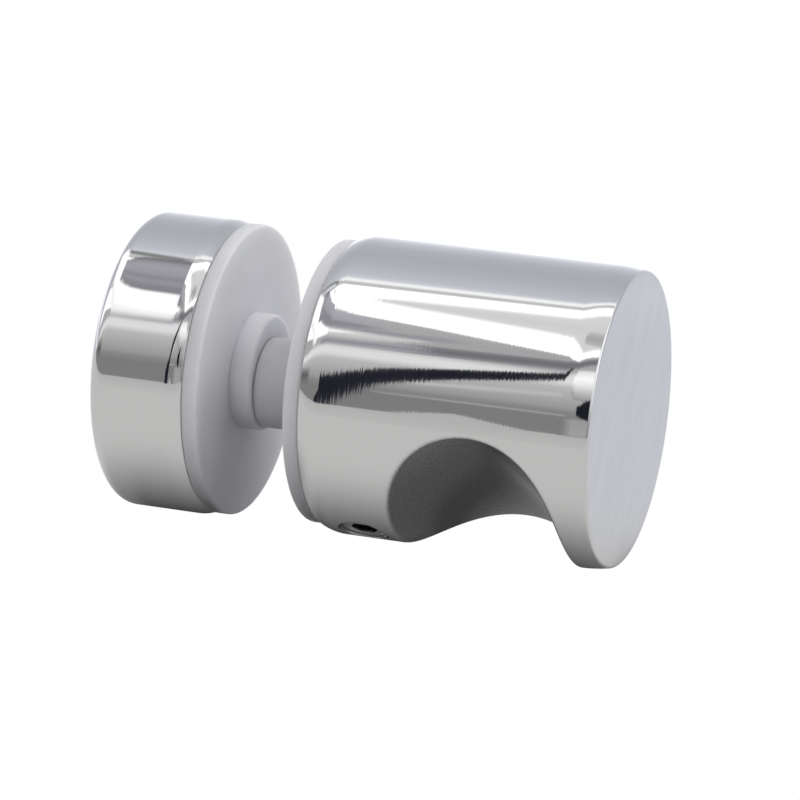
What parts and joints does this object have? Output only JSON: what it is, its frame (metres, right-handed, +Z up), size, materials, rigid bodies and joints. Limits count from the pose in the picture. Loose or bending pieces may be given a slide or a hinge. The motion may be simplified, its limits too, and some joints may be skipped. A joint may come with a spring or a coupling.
{
  "type": "shower door handle",
  "caption": "Round finger-pull knob for a glass shower door, with a recess under it, clamped through the pane to a flat rear cap with plastic gaskets.",
  "frame": {"origin": "centre of the glass hole, on the outer face of the pane, where the front gasket's disc lies", "axes": "+Y through the pane to the rear cap, the knob stands out along -Y, +Z up, the finger recess faces -Z"},
  "size_m": [0.03, 0.0515, 0.03],
  "materials": {
    "polished_steel": "mirror polished stainless steel, brushed on the knob's front face",
    "screw_steel": "dull stainless steel",
    "stud_steel": "rolled thread, dull",
    "white_plastic": "moulded, slightly translucent, satin"
  },
  "bodies": {
    "root": {"knob": "polished_steel", "set_screw": "screw_steel", "stud": "stud_steel", "front_gasket": "white_plastic", "rear_gasket": "white_plastic", "stud_sleeve": "white_plastic", "rear_cap": "polished_steel"}
  },
  "joints": []
}
